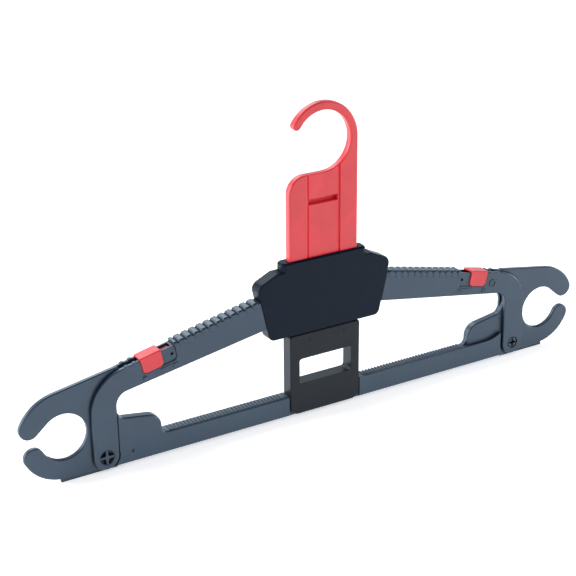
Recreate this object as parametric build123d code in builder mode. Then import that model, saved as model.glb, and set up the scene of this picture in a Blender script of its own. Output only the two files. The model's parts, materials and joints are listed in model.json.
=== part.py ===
from build123d import *
from math import acos, asin, cos, degrees, radians, sin, tan
import os

os.makedirs("parts", exist_ok=True)

# A folding travel hanger, in millimetres.
# The origin is the axis of the rail that the hook hangs on. +X points to the end
# that is on the right when the hanger is seen from its front, +Z up, -Y to the front.
# Heights in the sketches are measured from the axes of the two leg pivots.

# Overall sizes
pivot_reach = 144.3
seat_height = 159.6
arm_thickness = 8.2
overrun = 3.0

# Clearances
slide_gap = 0.2
side_gap = 0.3
swing_gap = 0.3
pin_gap = 0.06
seat_gap = 0.1
stop_gap = 0.3

# Hook: a flat plate with a C-shaped arc
hook_width = 46.6
hook_thickness = 5.2
seat_radius = 18.1
hook_tip_angle = 147.0
hook_shoulder_radius = 10.5
hook_edge_round = 1.2
guide_groove_width = 1.4
guide_groove_depth = 0.8
left_groove_x = -11.0
right_groove_x = 10.4
panel_setback = 0.3
grip_slot_height = 3.5
grip_slot_drop = 34.7
grip_slot_depth = 4.2

# Foot of the hook: a frame that straddles the inner ends of the bars
foot_overhang = 1.1
foot_thickness = 8.8
foot_wall = 1.1
foot_window_height = 16.0
foot_window_border = 6.2
foot_roof = 6.6
foot_corner_radius = 5.5
foot_shoulder_radius = 1.8
foot_edge_bevel = 0.6
foot_pin_radius = 1.3
foot_pin_inset = 12.0
spigot_depth = 8.0
spigot_thickness = 2.6
spigot_inset = 4.0

# Collar: two shells round the hook that hold the arms
collar_thickness = 8.8
collar_bottom = 45.0
collar_hip_height = 80.0
collar_deck_rise = 6.0
collar_rim_rise = 5.2
collar_half_width = 46.0
collar_half_foot = 38.0
collar_half_deck = 33.0
rim_half_width = 29.0
collar_hip_radius = 5.0
collar_foot_radius = 4.0
collar_rim_bevel = 1.0
rim_end_radius = 3.0
collar_edge_round = 0.8
guide_rib_width = 0.9
guide_rib_depth = 0.5
channel_wall = 1.6
tongue_thickness = 4.4
tongue_inset = 2.0
stud_radius = 1.8
stud_first_x = 29.5
stud_pitch = 7.5

# Arm: a channel that ends in a clevis shaped like a J
elbow_inset = 9.3
elbow_height = 51.0
arm_top_slope = 12.4
armpit_inset = 15.3
armpit_height = 38.0
arm_bottom_slope = 9.7
clevis_radius = 7.6
elbow_radius = 24.0
armpit_radius = 8.0
leg_slot_width = 3.8
slot_end_inset = 42.7
channel_floor = 3.3
channel_start_gap = 4.0
rib_thickness = 1.6
rib_count = 3
arm_edge_bevel = 0.4

# Knuckles along the top of the arm
knuckle_pitch = 4.86
knuckle_length = 4.2
knuckle_height = 4.4
knuckle_rise = 1.2
knuckle_bulge = 0.25
knuckle_bevel = 0.8
first_knuckle_inset = 2.0
wave_count = 2
wave_radius = 1.9
wave_rise = 0.5
wave_pitch = 4.9
first_wave_gap = 3.2

# Lock: a clip that slides along the arm and carries a bar in the slot
clip_centre_inset = 29.4
clip_length = 12.8
clip_depth = 9.3
clip_wall = 0.65
clip_top_wall = 1.2
clip_flap_radius = 2.6
clip_top_round = 0.9
clip_edge_bevel = 0.3
clip_rise = 0.9
track_depth = 0.5
lock_travel = 8.5
bar_top_depth = 1.6
bar_depth = 2.4
bar_outer_inset = 31.1
bar_inner_inset = 41.9
stem_length = 1.8
lock_bar_width = 4.0
lock_slot_roof = 1.2
nub_hole_radius = 0.9
nub_hole_depth = 5.0
nub_hole_inset = 2.6
nub_hole_sink = 1.4
boss_ring_radius = 2.5
boss_ring_width = 0.5
boss_ring_height = 0.35
boss_ring_inset = 18.9
boss_ring_above = 45.9

# Leg: the lower bar, the hump beside the pivot and the C-shaped jaw, in one plate
bar_bottom = -7.2
bar_height = 12.8
bar_thickness = 7.8
bar_tongue_thickness = 6.0
bar_tongue_length = 30.0
bar_edge_bevel = 0.6
leg_plate_thickness = 3.2
jaw_out = 23.6
jaw_up = 18.6
jaw_radius = 13.9
lower_jaw_radius = 25.8
upper_jaw_radius = 27.7
upper_tip_radius = 6.0
lower_tip_angle = -25.0
upper_tip_angle = 26.0
jaw_top_slope = 9.9
jaw_edge_bevel = 0.5
lip_drop = 1.9
lip_length = 26.8
lip_thickness = 2.0
hump_inner_inset = 34.9
hump_low_height = 17.9
hump_high_height = 21.8
hump_end_inset = 10.2
hump_corner_radius = 8.5
hump_foot_radius = 3.6
hump_edge_round = 1.4
ledge_turn_inset = 22.3
ledge_radius = 24.0
dimple_inset = 15.9
dimple_radius = 1.0
dimple_depth = 0.5
plate_neck_inset = 5.0
plate_neck_height = 31.0
plate_shoulder_height = 40.5
plate_shoulder_inset = 11.6
plate_corner_radius = 2.0
front_recess = 2.2
back_recess = 0.4
heel_gap = 0.7

# Pivot pin: a head with four windows at one end, split prongs at the other
pin_radius = 3.0
pin_head_radius = 4.6
pin_head_depth = 1.4
pin_edge_bevel = 0.3
prong_radius = 3.9
prong_bevel = 0.9
prong_depth = 1.2
prong_slot_width = 1.4
prong_slot_length = 5.4
prong_slot_depth = 2.3
window_depth = 2.3
window_rim = 0.4
window_hub_radius = 1.5
window_spoke = 1.3

# Worked out from the sizes above
SIDE = Plane(origin=(0, 0, -seat_height), x_dir=(1, 0, 0), z_dir=(0, -1, 0))
hook_half = hook_width / 2
channel_half = hook_half + side_gap
channel_depth = hook_thickness / 2 + slide_gap
bar_top = bar_bottom + bar_height
foot_half = hook_half + foot_overhang
foot_roof_height = bar_top + stop_gap * 2
foot_window_bottom = foot_roof_height + foot_roof
foot_top = collar_bottom - stop_gap
shoulder_height = seat_height - seat_radius
clevis_inner_x = pivot_reach - clevis_radius
clevis_outer_x = pivot_reach + clevis_radius
elbow_x = pivot_reach - elbow_inset
armpit_x = pivot_reach - armpit_inset
jaw_x = pivot_reach + jaw_out
slot_end_x = pivot_reach - slot_end_inset
channel_start_x = collar_half_width + channel_start_gap
collar_deck_height = collar_hip_height + collar_deck_rise
collar_rim_height = collar_deck_height + collar_rim_rise
top_run = tan(radians(arm_top_slope))
bottom_run = tan(radians(arm_bottom_slope))
track_face = arm_thickness / 2 - track_depth
clip_outer_face = track_face + slide_gap + clip_wall


def side(y):
    """The upright plane at depth y that faces the front."""
    return SIDE.offset(-y)


def arm_top(x):
    """Height of the arm's top edge."""
    return elbow_height + (elbow_x - x) * top_run


def arm_bottom(x):
    """Height of the arm's bottom edge."""
    return armpit_height + (armpit_x - x) * bottom_run


def along_arm(x, below):
    """A point under the arm's top edge at x, square to that edge."""
    return x - below * sin(radians(arm_top_slope)), arm_top(x) - below * cos(radians(arm_top_slope))


def polar(centre, radius, angle):
    """A point on a circle."""
    return centre[0] + radius * cos(radians(angle)), centre[1] + radius * sin(radians(angle))


def near(sketch, point, count=1):
    """The corners of a sketch that lie nearest to a point."""
    return sketch.vertices().sort_by_distance((point[0], point[1], 0))[:count]


def turned(part):
    """The same piece at the other end of the hanger, turned half a turn about the upright axis."""
    return part.rotate(Axis.Z, 180)


def save(part, name, label):
    """Writes one piece."""
    part.label = label
    export_step(part, f"parts/{name}.step")


# Hook
seat = (0, seat_height)
hook_strip = hook_half - seat_radius
hook_tip = polar(seat, seat_radius + hook_strip / 2, hook_tip_angle)
shoulder_centre = (hook_shoulder_radius - hook_half, shoulder_height - hook_shoulder_radius)
plate_bottom = foot_top

with BuildPart() as hook:
    with BuildSketch(SIDE):
        with BuildLine():
            CenterArc(seat, hook_half, 0, hook_tip_angle)
            CenterArc(hook_tip, hook_strip / 2, hook_tip_angle, 180)
            CenterArc(seat, seat_radius, -90, hook_tip_angle + 90)
            Line((0, shoulder_height), (shoulder_centre[0], shoulder_height))
            CenterArc(shoulder_centre, hook_shoulder_radius, 90, 90)
            Polyline(
                (-hook_half, shoulder_centre[1]),
                (-hook_half, plate_bottom),
                (hook_half, plate_bottom),
                (hook_half, seat_height),
            )
        make_face()
    extrude(amount=hook_thickness / 2, both=True)
    fillet(hook.faces().filter_by(Axis.Y).edges().filter_by(Axis.X, reverse=True), hook_edge_round)
    panel_width = right_groove_x - left_groove_x
    panel_centre = (left_groove_x + right_groove_x) / 2
    for face_side in (-1, 1):
        groove_height = shoulder_height - plate_bottom + overrun + guide_groove_width * 2
        with BuildSketch(side(face_side * hook_thickness / 2)):
            with Locations((left_groove_x, plate_bottom), (right_groove_x, plate_bottom)):
                Rectangle(guide_groove_width, groove_height, align=(Align.CENTER, Align.MIN))
        extrude(amount=face_side * guide_groove_depth, mode=Mode.SUBTRACT)
        with BuildSketch(side(face_side * hook_thickness / 2)):
            with Locations((panel_centre, plate_bottom)):
                Rectangle(panel_width, groove_height, align=(Align.CENTER, Align.MIN))
        extrude(amount=face_side * panel_setback, mode=Mode.SUBTRACT)
    # The grip slot is open to the front, with a thin web behind it
    with BuildSketch(side(-hook_thickness / 2)):
        with Locations((panel_centre, seat_height - grip_slot_drop)):
            Rectangle(panel_width - guide_groove_width, grip_slot_height)
    extrude(amount=-grip_slot_depth, mode=Mode.SUBTRACT)
    spigot_half = hook_half - spigot_inset
    with BuildSketch(SIDE):
        with Locations((0, plate_bottom)):
            Rectangle(spigot_half * 2, spigot_depth, align=(Align.CENTER, Align.MAX))
    extrude(amount=spigot_thickness / 2, both=True)
    with BuildSketch(SIDE):
        with Locations((-foot_pin_inset, plate_bottom - spigot_depth / 2)):
            Circle(foot_pin_radius)
        with Locations((foot_pin_inset, plate_bottom - spigot_depth / 2)):
            Circle(foot_pin_radius)
    extrude(amount=hook_thickness, both=True, mode=Mode.SUBTRACT)

save(hook.part, "hook", "hook")

# Foot of the hook
with BuildPart() as hook_foot:
    with BuildSketch(SIDE) as foot_outline:
        with BuildLine():
            Polyline(
                (-foot_half, bar_bottom),
                (foot_half, bar_bottom),
                (foot_half, foot_top),
                (-foot_half, foot_top),
                close=True,
            )
        make_face()
        fillet(foot_outline.vertices().group_by(Axis.Y)[0], foot_corner_radius)
        fillet(foot_outline.vertices().group_by(Axis.Y)[-1], foot_shoulder_radius)
    extrude(amount=foot_thickness / 2, both=True)
    chamfer(hook_foot.faces().filter_by(Axis.Y).edges(), foot_edge_bevel)
    with BuildSketch(SIDE):
        with Locations((0, foot_window_bottom)):
            window_width = (foot_half - foot_window_border) * 2
            RectangleRounded(
                window_width, foot_window_height, foot_shoulder_radius, align=(Align.CENTER, Align.MIN)
            )
    extrude(amount=foot_thickness, both=True, mode=Mode.SUBTRACT)
    with BuildSketch(SIDE):
        with Locations((0, foot_roof_height)):
            socket_height = bar_height + overrun
            Rectangle((foot_half + overrun) * 2, socket_height, align=(Align.CENTER, Align.MAX))
    extrude(amount=foot_thickness / 2 - foot_wall, both=True, mode=Mode.SUBTRACT)
    with BuildSketch(SIDE):
        with Locations((0, foot_top)):
            pocket_width = (spigot_half + seat_gap) * 2
            Rectangle(pocket_width, spigot_depth + seat_gap, align=(Align.CENTER, Align.MAX))
    extrude(amount=spigot_thickness / 2 + seat_gap, both=True, mode=Mode.SUBTRACT)
    with BuildSketch(SIDE):
        with Locations((-foot_pin_inset, plate_bottom - spigot_depth / 2)):
            Circle(foot_pin_radius)
        with Locations((foot_pin_inset, plate_bottom - spigot_depth / 2)):
            Circle(foot_pin_radius)
    extrude(amount=foot_thickness, both=True, mode=Mode.SUBTRACT)

save(hook_foot.part, "hook_foot", "hook foot")

# Two pins hold the foot on the hook's spigot
with BuildPart() as foot_pins:
    with BuildSketch(SIDE):
        with Locations((-foot_pin_inset, plate_bottom - spigot_depth / 2)):
            Circle(foot_pin_radius)
        with Locations((foot_pin_inset, plate_bottom - spigot_depth / 2)):
            Circle(foot_pin_radius)
    extrude(amount=foot_thickness / 2 - seat_gap, both=True)

save(foot_pins.part, "foot_pins", "foot pins")


def collar_outline(gap=0.0):
    """The collar seen from the front, as a face in the current sketch, grown by gap."""
    with BuildLine() as path:
        Polyline(
            (-collar_half_foot - gap, collar_bottom - gap),
            (collar_half_foot + gap, collar_bottom - gap),
            (collar_half_width + gap, collar_hip_height),
            (collar_half_deck, collar_deck_height + gap),
            (-collar_half_deck, collar_deck_height + gap),
            (-collar_half_width - gap, collar_hip_height),
            close=True,
        )
    make_face(path.edges())


def stud_places():
    """The four studs, on the middle line of each arm's tongue."""
    places = []
    for end in (-1, 1):
        for number in range(2):
            x = stud_first_x + number * stud_pitch
            places.append((end * x, (arm_top(x) + arm_bottom(x)) / 2))
    return places


def collar_shell(front):
    """One shell of the collar. The front one carries the studs, the back one their sockets."""
    way = 1 if front else -1
    half = collar_thickness / 2
    with BuildPart() as shell:
        with BuildSketch(SIDE) as outline:
            collar_outline()
            fillet(near(outline, (-collar_half_foot, collar_bottom)), collar_foot_radius)
            fillet(near(outline, (collar_half_foot, collar_bottom)), collar_foot_radius)
            fillet(near(outline, (-collar_half_width, collar_hip_height)), collar_hip_radius)
            fillet(near(outline, (collar_half_width, collar_hip_height)), collar_hip_radius)
        extrude(amount=way * half)
        fillet(shell.faces().sort_by(Axis.Y)[0 if front else -1].edges(), collar_edge_round)
        outward = 0 if front else -1
        with BuildSketch(Plane.XY.offset(collar_hip_height - seat_height)) as rim:
            with Locations((0, -way * half / 2)):
                Rectangle(rim_half_width * 2, half)
            fillet(rim.vertices().group_by(Axis.Y)[outward], rim_end_radius)
        extrude(amount=collar_rim_height - collar_hip_height)
        rim_edges = shell.faces().sort_by(Axis.Z)[-1].edges()
        chamfer(rim_edges.sort_by(lambda edge: abs(edge.center().Y))[1:], collar_rim_bevel)
        with BuildSketch(SIDE):
            with Locations((0, collar_bottom - overrun)):
                channel_height = collar_rim_height - collar_bottom + overrun * 2
                Rectangle(channel_half * 2, channel_height, align=(Align.CENTER, Align.MIN))
        extrude(amount=way * channel_depth, mode=Mode.SUBTRACT)
        with BuildSketch(side(-way * channel_depth)):
            with Locations((left_groove_x, collar_bottom), (right_groove_x, collar_bottom)):
                rib_height = collar_rim_height - collar_rim_bevel - collar_bottom
                Rectangle(guide_rib_width, rib_height, align=(Align.CENTER, Align.MIN))
        extrude(amount=-way * (slide_gap + guide_rib_depth))
        tongue_pocket(way, half)
        if front:
            with BuildSketch(side(-way * tongue_thickness / 2 - way * seat_gap)):
                with Locations(*stud_places()):
                    Circle(stud_radius)
            extrude(amount=-way * (tongue_thickness + channel_wall / 2 + seat_gap))
        else:
            with BuildSketch(side(-way * tongue_thickness / 2)):
                with Locations(*stud_places()):
                    Circle(stud_radius + seat_gap)
            extrude(amount=way * channel_wall / 2 + way * seat_gap, mode=Mode.SUBTRACT)
    return shell.part


def tongue_pocket(way, half):
    """Cuts half of the pockets that take the two arms' tongues."""
    inner = channel_half + channel_wall
    outer = collar_half_width + overrun
    for end in (-1, 1):
        with BuildSketch(SIDE) as pocket:
            with BuildLine():
                Polyline(
                    (end * inner, arm_bottom(inner) + tongue_inset - seat_gap),
                    (end * outer, arm_bottom(outer) + tongue_inset - seat_gap),
                    (end * outer, arm_top(outer) - tongue_inset + seat_gap),
                    (end * inner, arm_top(inner) - tongue_inset + seat_gap),
                    close=True,
                )
            make_face()
        extrude(pocket.sketch, amount=way * (tongue_thickness / 2 + seat_gap), mode=Mode.SUBTRACT)


save(collar_shell(front=True), "collar_front", "collar, front shell")
save(collar_shell(front=False), "collar_back", "collar, back shell")

# Arm, right-hand end
first_knuckle_x = slot_end_x - first_knuckle_inset
knuckle_step = knuckle_pitch * cos(radians(arm_top_slope))
knuckle_count = int((first_knuckle_x - collar_half_width) / knuckle_step) + 1
channel_top_drop = channel_floor / cos(radians(arm_top_slope))
clip_half = clip_length / 2
clip_centre_x = pivot_reach - clip_centre_inset
bar_outer_x = pivot_reach - bar_outer_inset
bar_inner_x = pivot_reach - bar_inner_inset
track_inner_x = clip_centre_x - clip_half - lock_travel - slide_gap
track_outer_x = clip_centre_x + clip_half + slide_gap
lock_slot_inner_x = bar_inner_x - lock_travel - stop_gap
lock_slot_outer_x = bar_outer_x + stop_gap
lock_slot_floor = bar_top_depth + bar_depth + stop_gap

# The knuckles stand on the arm's top edge, as many as fit from the slot to the collar
with BuildPart() as knuckles:
    for number in range(knuckle_count):
        knuckle_x = first_knuckle_x - number * knuckle_step
        knuckle_centre = along_arm(knuckle_x, knuckle_height / 2 - knuckle_rise)
        with BuildSketch(SIDE):
            with Locations(Location((*knuckle_centre, 0), (0, 0, -arm_top_slope))):
                Rectangle(knuckle_length, knuckle_height)
        extrude(amount=arm_thickness / 2 + knuckle_bulge, both=True)
    steep = cos(radians(arm_top_slope)) / 2
    undersides = knuckles.faces().filter_by(lambda face: face.normal_at().Z < -steep)
    chamfer(knuckles.edges() - undersides.edges(), knuckle_bevel)

with BuildPart() as arm:
    with BuildSketch(SIDE) as arm_outline:
        inner_x = collar_half_foot
        with BuildLine():
            Polyline(
                (inner_x, arm_bottom(inner_x)),
                (clevis_inner_x, arm_bottom(clevis_inner_x)),
                (clevis_inner_x, 0),
                (clevis_outer_x, 0),
                (clevis_outer_x, arm_top(clevis_outer_x)),
                (inner_x, arm_top(inner_x)),
                close=True,
            )
        make_face()
        fillet(near(arm_outline, (clevis_inner_x, arm_bottom(clevis_inner_x))), armpit_radius)
        fillet(near(arm_outline, (clevis_outer_x, arm_top(clevis_outer_x))), elbow_radius)
        with Locations((pivot_reach, 0)):
            Circle(clevis_radius)
    extrude(amount=arm_thickness / 2, both=True)
    chamfer(arm.faces().filter_by(Axis.Y).edges(), arm_edge_bevel)
    with BuildSketch(SIDE) as collar_room:
        collar_outline(seat_gap)
        fillet(near(collar_room, (collar_half_foot, collar_bottom)), collar_foot_radius)
        fillet(near(collar_room, (collar_half_width, collar_hip_height)), collar_hip_radius)
    extrude(amount=arm_thickness, both=True, mode=Mode.SUBTRACT)
    with BuildSketch(SIDE):
        tongue_start = channel_half + channel_wall + seat_gap
        tongue_end = collar_half_width + overrun
        with BuildLine():
            Polyline(
                (tongue_start, arm_bottom(tongue_start) + tongue_inset),
                (tongue_end, arm_bottom(tongue_end) + tongue_inset),
                (tongue_end, arm_top(tongue_end) - tongue_inset),
                (tongue_start, arm_top(tongue_start) - tongue_inset),
                close=True,
            )
        make_face()
    extrude(amount=tongue_thickness / 2, both=True)
    with BuildSketch(SIDE):
        with Locations(*[place for place in stud_places() if place[0] > 0]):
            Circle(stud_radius + seat_gap)
    extrude(amount=arm_thickness, both=True, mode=Mode.SUBTRACT)
    add(knuckles.part)
    # Two small waves stand on each cheek, outward of the clip
    with BuildSketch(SIDE):
        for number in range(wave_count):
            x = clip_centre_x + clip_half + first_wave_gap + number * wave_pitch
            with Locations(along_arm(x, wave_radius - wave_rise)):
                Circle(wave_radius)
    extrude(amount=arm_thickness / 2, both=True)
    # The leg's slot splits the outer end into two cheeks
    with BuildSketch(SIDE):
        with BuildLine():
            Polyline(
                (slot_end_x, 0),
                (clevis_outer_x + overrun, -clevis_radius - overrun),
                (clevis_outer_x + overrun, arm_top(slot_end_x) + overrun),
                (slot_end_x, arm_top(slot_end_x) + overrun),
                close=True,
            )
        make_face()
        with Locations((pivot_reach, -clevis_radius)):
            Rectangle((clevis_radius + overrun) * 2, clevis_radius * 2)
    extrude(amount=leg_slot_width / 2, both=True, mode=Mode.SUBTRACT)
    # Inward of the slot the arm is a channel that is open below
    with BuildSketch(SIDE):
        with BuildLine():
            Polyline(
                (channel_start_x, arm_bottom(channel_start_x) - overrun),
                (slot_end_x + overrun, arm_bottom(slot_end_x) - overrun),
                (slot_end_x + overrun, arm_top(slot_end_x + overrun) - channel_top_drop),
                (channel_start_x, arm_top(channel_start_x) - channel_top_drop),
                close=True,
            )
        make_face()
    extrude(amount=leg_slot_width / 2, both=True, mode=Mode.SUBTRACT)
    # Above it a wider slot takes the lock bar. It is roofed under the knuckles
    for slot_inner_x, slot_outer_x, slot_top in (
        (lock_slot_inner_x, lock_slot_outer_x, lock_slot_roof),
        (slot_end_x, lock_slot_outer_x, -overrun),
    ):
        with BuildSketch(SIDE):
            with BuildLine():
                Polyline(
                    along_arm(slot_inner_x, slot_top),
                    along_arm(slot_outer_x, slot_top),
                    along_arm(slot_outer_x, lock_slot_floor),
                    along_arm(slot_inner_x, lock_slot_floor),
                    close=True,
                )
            make_face()
        extrude(amount=lock_bar_width / 2 + side_gap, both=True, mode=Mode.SUBTRACT)
    rib_span = lock_slot_inner_x - channel_start_x
    with BuildSketch(SIDE):
        for number in range(rib_count):
            x = channel_start_x + rib_span * (number + 1) / (rib_count + 1)
            with BuildLine():
                Polyline(
                    (x, arm_bottom(x) + tongue_inset),
                    (x + rib_thickness, arm_bottom(x + rib_thickness) + tongue_inset),
                    (x + rib_thickness, arm_top(x + rib_thickness) - channel_floor / 2),
                    (x, arm_top(x) - channel_floor / 2),
                    close=True,
                )
            make_face()
    extrude(amount=leg_slot_width / 2 + seat_gap, both=True)
    # The clip's flaps run in a shallow track on both faces
    for way in (-1, 1):
        with BuildSketch(side(-way * (arm_thickness / 2 + overrun))) as track:
            with BuildLine():
                Polyline(
                    along_arm(track_inner_x, -overrun),
                    along_arm(track_outer_x, -overrun),
                    along_arm(track_outer_x, clip_depth),
                    along_arm(track_inner_x, clip_depth),
                    close=True,
                )
            make_face()
            fillet(near(track, along_arm(track_inner_x, clip_depth)), clip_flap_radius)
            fillet(near(track, along_arm(track_outer_x, clip_depth)), clip_flap_radius)
        extrude(amount=-way * (track_depth + overrun), mode=Mode.SUBTRACT)
        with BuildSketch(side(-way * track_face)):
            with Locations(along_arm(track_inner_x + nub_hole_inset, nub_hole_depth)):
                Circle(nub_hole_radius)
        extrude(amount=-way * nub_hole_sink, mode=Mode.SUBTRACT)
    with BuildSketch(SIDE):
        with BuildLine():
            Polyline(
                along_arm(track_inner_x, -overrun),
                along_arm(track_outer_x, -overrun),
                along_arm(track_outer_x, clip_top_wall - clip_rise + slide_gap),
                along_arm(track_inner_x, clip_top_wall - clip_rise + slide_gap),
                close=True,
            )
        make_face()
    extrude(amount=arm_thickness, both=True, mode=Mode.SUBTRACT)
    # A ring boss stands on the front cheek
    with BuildSketch(side(-arm_thickness / 2)):
        with Locations((pivot_reach - boss_ring_inset, boss_ring_above)):
            Circle(boss_ring_radius)
            Circle(boss_ring_radius - boss_ring_width, mode=Mode.SUBTRACT)
    extrude(amount=boss_ring_height)
    # The pivot pin's hole, with a seat for the head behind and for the prongs in front
    with BuildSketch(SIDE):
        with Locations((pivot_reach, 0)):
            Circle(pin_radius + pin_gap)
    extrude(amount=arm_thickness, both=True, mode=Mode.SUBTRACT)
    with BuildSketch(side(arm_thickness / 2)):
        with Locations((pivot_reach, 0)):
            Circle(pin_head_radius + pin_gap)
    extrude(amount=pin_head_depth + pin_gap, mode=Mode.SUBTRACT)
    with BuildSketch(side(-arm_thickness / 2)):
        with Locations((pivot_reach, 0)):
            Circle(prong_radius + pin_gap)
    extrude(amount=-prong_depth - pin_gap, mode=Mode.SUBTRACT)

save(arm.part, "arm_right", "arm, right")
save(turned(arm.part), "arm_left", "arm, left")

# Pivot pin, right-hand end
with BuildPart() as pivot_pin:
    with BuildSketch(SIDE):
        with Locations((pivot_reach, 0)):
            Circle(pin_radius)
    extrude(amount=arm_thickness / 2, both=True)
    with BuildSketch(side(arm_thickness / 2)):
        with Locations((pivot_reach, 0)):
            Circle(pin_head_radius)
    extrude(amount=pin_head_depth)
    with BuildSketch(side(-arm_thickness / 2)):
        with Locations((pivot_reach, 0)):
            Circle(prong_radius)
    extrude(amount=-prong_depth)
    chamfer(pivot_pin.faces().sort_by(Axis.Y)[0].edges(), prong_bevel)
    chamfer(pivot_pin.faces().sort_by(Axis.Y)[-1].edges(), pin_edge_bevel)
    with BuildSketch(side(arm_thickness / 2)):
        with Locations((pivot_reach, 0)):
            Circle(pin_head_radius - window_rim)
            Circle(window_hub_radius, mode=Mode.SUBTRACT)
            Rectangle(pin_head_radius * 2, window_spoke, mode=Mode.SUBTRACT)
            Rectangle(window_spoke, pin_head_radius * 2, mode=Mode.SUBTRACT)
    extrude(amount=window_depth, mode=Mode.SUBTRACT)
    with BuildSketch(side(-arm_thickness / 2)):
        with Locations((pivot_reach, 0)):
            Rectangle(prong_slot_length, prong_slot_width)
            Rectangle(prong_slot_width, prong_slot_length)
    extrude(amount=-prong_slot_depth, mode=Mode.SUBTRACT)

save(pivot_pin.part, "pivot_pin_right", "pivot pin, right")
save(turned(pivot_pin.part), "pivot_pin_left", "pivot pin, left")

# Leg, right-hand end
jaw = (jaw_x, jaw_up)
jaw_band = lower_jaw_radius - jaw_radius
lower_tip = polar(jaw, jaw_radius + jaw_band / 2, lower_tip_angle)
tip_distance = upper_jaw_radius - upper_tip_radius
upper_tip = polar(jaw, tip_distance, upper_tip_angle)
tangent_turn = degrees(acos((jaw_radius + upper_tip_radius) / tip_distance))
throat_angle = upper_tip_angle + tangent_turn
jaw_crown_angle = 90 - jaw_top_slope
jaw_crown = polar(jaw, upper_jaw_radius, jaw_crown_angle)
plate_inner_x = pivot_reach - plate_shoulder_inset
plate_top = jaw_crown[1] + (jaw_crown[0] - plate_inner_x) * tan(radians(jaw_top_slope))
neck_x = pivot_reach - plate_neck_inset
hump_inner_x = pivot_reach - hump_inner_inset
hump_end_x = pivot_reach - hump_end_inset
ledge_turn_x = pivot_reach - ledge_turn_inset
bar_end_x = swing_gap * 2


def leg_outline(sketch):
    """The whole plate seen from the front, as a face in the current sketch."""
    with BuildLine() as path:
        Line((bar_end_x, bar_bottom), (jaw_x, bar_bottom))
        CenterArc(jaw, lower_jaw_radius, -90, 90 + lower_tip_angle)
        CenterArc(lower_tip, jaw_band / 2, lower_tip_angle, 180)
        CenterArc(jaw, jaw_radius, throat_angle, 360 + lower_tip_angle - throat_angle)
        Line(polar(jaw, jaw_radius, throat_angle), polar(upper_tip, upper_tip_radius, throat_angle + 180))
        CenterArc(upper_tip, upper_tip_radius, throat_angle + 180, 180 - tangent_turn)
        CenterArc(jaw, upper_jaw_radius, upper_tip_angle, jaw_crown_angle - upper_tip_angle)
        Polyline(
            jaw_crown,
            (plate_inner_x, plate_top),
            (plate_inner_x, plate_shoulder_height),
            (neck_x, plate_neck_height),
            (hump_end_x, hump_high_height),
            (hump_inner_x, hump_low_height),
            (hump_inner_x, bar_top),
            (bar_end_x, bar_top),
            (bar_end_x, bar_bottom),
        )
    make_face(path.edges())
    fillet(near(sketch, (plate_inner_x, plate_top)), plate_corner_radius)
    fillet(near(sketch, (plate_inner_x, plate_shoulder_height)), plate_corner_radius)
    fillet(near(sketch, (neck_x, plate_neck_height)), armpit_radius)
    fillet(near(sketch, (hump_end_x, hump_high_height)), hump_foot_radius)
    fillet(near(sketch, (hump_inner_x, hump_low_height)), hump_corner_radius)
    fillet(near(sketch, (hump_inner_x, bar_top)), hump_foot_radius)


def clevis_room(gap, y_from, y_to):
    """Clears the thick part of the leg round one cheek, gap wide."""
    with BuildSketch(side(y_from)) as room:
        with Locations((pivot_reach, 0)):
            Circle(clevis_radius + gap)
            width = (clevis_radius + gap) * 2
            Rectangle(width, elbow_height + overrun, align=(Align.CENTER, Align.MIN))
    extrude(room.sketch, amount=y_from - y_to, mode=Mode.SUBTRACT)


def hump_edges(part, y):
    """The edges of the hump's outline, above its foot, on the face at depth y."""
    outline = part.faces().filter_by(Axis.Y).edges().filter_by_position(Axis.Y, y, y)
    outline = outline.filter_by_position(Axis.X, hump_inner_x - overrun, hump_end_x)
    low = bar_top + hump_foot_radius - seat_height
    return outline.filter_by_position(Axis.Z, low, plate_neck_height - seat_height)


plate_half = leg_plate_thickness / 2
bar_half = bar_thickness / 2
# The thin plate carries the jaw and passes between the cheeks
with BuildPart() as leg_plate:
    with BuildSketch(SIDE) as plate_outline:
        leg_outline(plate_outline)
        with Locations((hump_end_x, plate_neck_height)):
            Rectangle(jaw_x, jaw_x, align=(Align.MAX, Align.MAX), mode=Mode.SUBTRACT)
    extrude(amount=plate_half, both=True)
    outer_edges = leg_plate.faces().filter_by(Axis.Y).edges().filter_by_position(
        Axis.X, pivot_reach + clevis_radius, pivot_reach * 2
    )
    chamfer(outer_edges, jaw_edge_bevel)

# The hump's front is bevelled, level with the plate's
with BuildPart() as hump:
    with BuildSketch(SIDE) as hump_outline:
        leg_outline(hump_outline)
        with Locations((hump_inner_x, plate_neck_height)):
            hump_length = hump_end_x - hump_inner_x
            Rectangle(hump_length, jaw_x, align=(Align.MIN, Align.MAX), mode=Mode.INTERSECT)
    extrude(amount=plate_half, both=True)
    chamfer(hump_edges(hump, -plate_half), jaw_edge_bevel)

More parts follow.
